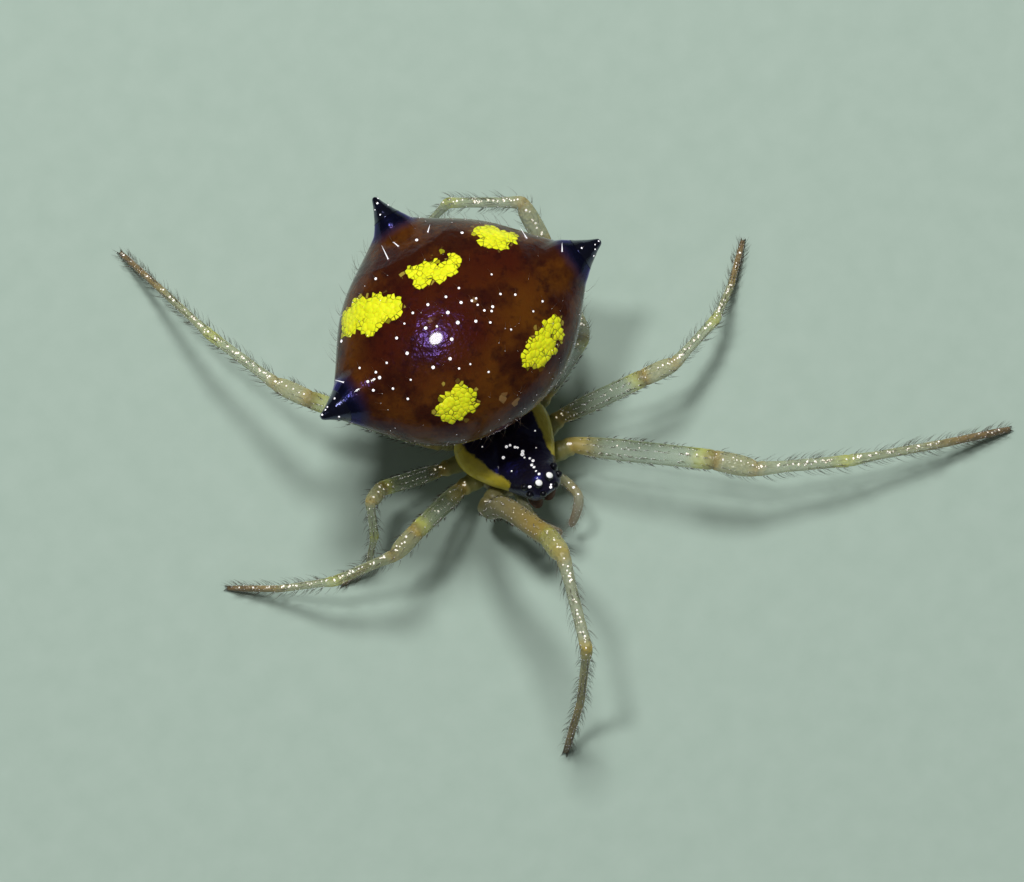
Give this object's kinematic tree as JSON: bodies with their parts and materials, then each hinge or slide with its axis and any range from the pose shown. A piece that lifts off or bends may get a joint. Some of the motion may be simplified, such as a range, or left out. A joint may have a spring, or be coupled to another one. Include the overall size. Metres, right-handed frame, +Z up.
{
  "type": "three-horned comb-footed spider",
  "caption": "Small glossy spider standing still: domed red-brown abdomen with yellow spots and blunt black horns, black head, slender pale yellowish legs.",
  "frame": {"origin": "on the floor under the middle of the outline's box", "axes": "+Z up from the floor, -Y the way the head points, +X the spider's left side"},
  "size_m": [0.0086, 0.0082, 0.0029],
  "materials": {
    "abdomen_cuticle": "glossy dark mahogany cuticle with lemon-yellow spots",
    "horn_cuticle": "glossy blue-black",
    "carapace_cuticle": "glossy black down the middle, olive-yellow margins",
    "sternum_cuticle": "satin olive-yellow",
    "eye_lens": "polished dark lens",
    "mouthpart_cuticle": "translucent brown",
    "leg_cuticle": "translucent pale yellow-olive",
    "tarsus_cuticle": "orange-brown",
    "spinneret_cuticle": "satin dark brown",
    "seta": "fine pale to dark bristles"
  },
  "bodies": {
    "root": {"abdomen": "abdomen_cuticle", "carapace": "carapace_cuticle", "chelicera_left": "mouthpart_cuticle", "chelicera_right": "mouthpart_cuticle", "eye_anterior_lateral_left": "eye_lens", "eye_anterior_lateral_right": "eye_lens", "eye_anterior_median_left": "eye_lens", "eye_anterior_median_right": "eye_lens", "eye_posterior_lateral_left": "eye_lens", "eye_posterior_lateral_right": "eye_lens", "eye_posterior_median_left": "eye_lens", "eye_posterior_median_right": "eye_lens", "horn_left": "horn_cuticle", "horn_rear": "horn_cuticle", "horn_right": "horn_cuticle", "leg_left_1_femur": "leg_cuticle", "leg_left_1_metatarsus": "leg_cuticle", "leg_left_1_patella": "leg_cuticle", "leg_left_1_tarsus": "tarsus_cuticle", "leg_left_1_tibia": "leg_cuticle", "leg_left_2_femur": "leg_cuticle", "leg_left_2_metatarsus": "leg_cuticle", "leg_left_2_patella": "leg_cuticle", "leg_left_2_tarsus": "tarsus_cuticle", "leg_left_2_tibia": "leg_cuticle", "leg_left_3_femur": "leg_cuticle", "leg_left_3_metatarsus": "leg_cuticle", "leg_left_3_patella": "leg_cuticle", "leg_left_3_tarsus": "tarsus_cuticle", "leg_left_3_tibia": "leg_cuticle", "leg_left_4_femur": "leg_cuticle", "leg_left_4_metatarsus": "leg_cuticle", "leg_left_4_patella": "leg_cuticle", "leg_left_4_tarsus": "tarsus_cuticle", "leg_left_4_tibia": "leg_cuticle", "leg_right_1_femur": "leg_cuticle", "leg_right_1_metatarsus": "leg_cuticle", "leg_right_1_patella": "leg_cuticle", "leg_right_1_tarsus": "tarsus_cuticle", "leg_right_1_tibia": "leg_cuticle", "leg_right_2_femur": "leg_cuticle", "leg_right_2_metatarsus": "leg_cuticle", "leg_right_2_patella": "leg_cuticle", "leg_right_2_tarsus": "tarsus_cuticle", "leg_right_2_tibia": "leg_cuticle", "leg_right_3_femur": "leg_cuticle", "leg_right_3_metatarsus": "leg_cuticle", "leg_right_3_patella": "leg_cuticle", "leg_right_3_tarsus": "tarsus_cuticle", "leg_right_3_tibia": "leg_cuticle", "leg_right_4_femur": "leg_cuticle", "leg_right_4_metatarsus": "leg_cuticle", "leg_right_4_patella": "leg_cuticle", "leg_right_4_tarsus": "tarsus_cuticle", "leg_right_4_tibia": "leg_cuticle", "palp_left": "leg_cuticle", "palp_right": "leg_cuticle", "pedicel": "spinneret_cuticle", "spinnerets": "spinneret_cuticle", "sternum": "sternum_cuticle"}
  },
  "joints": []
}
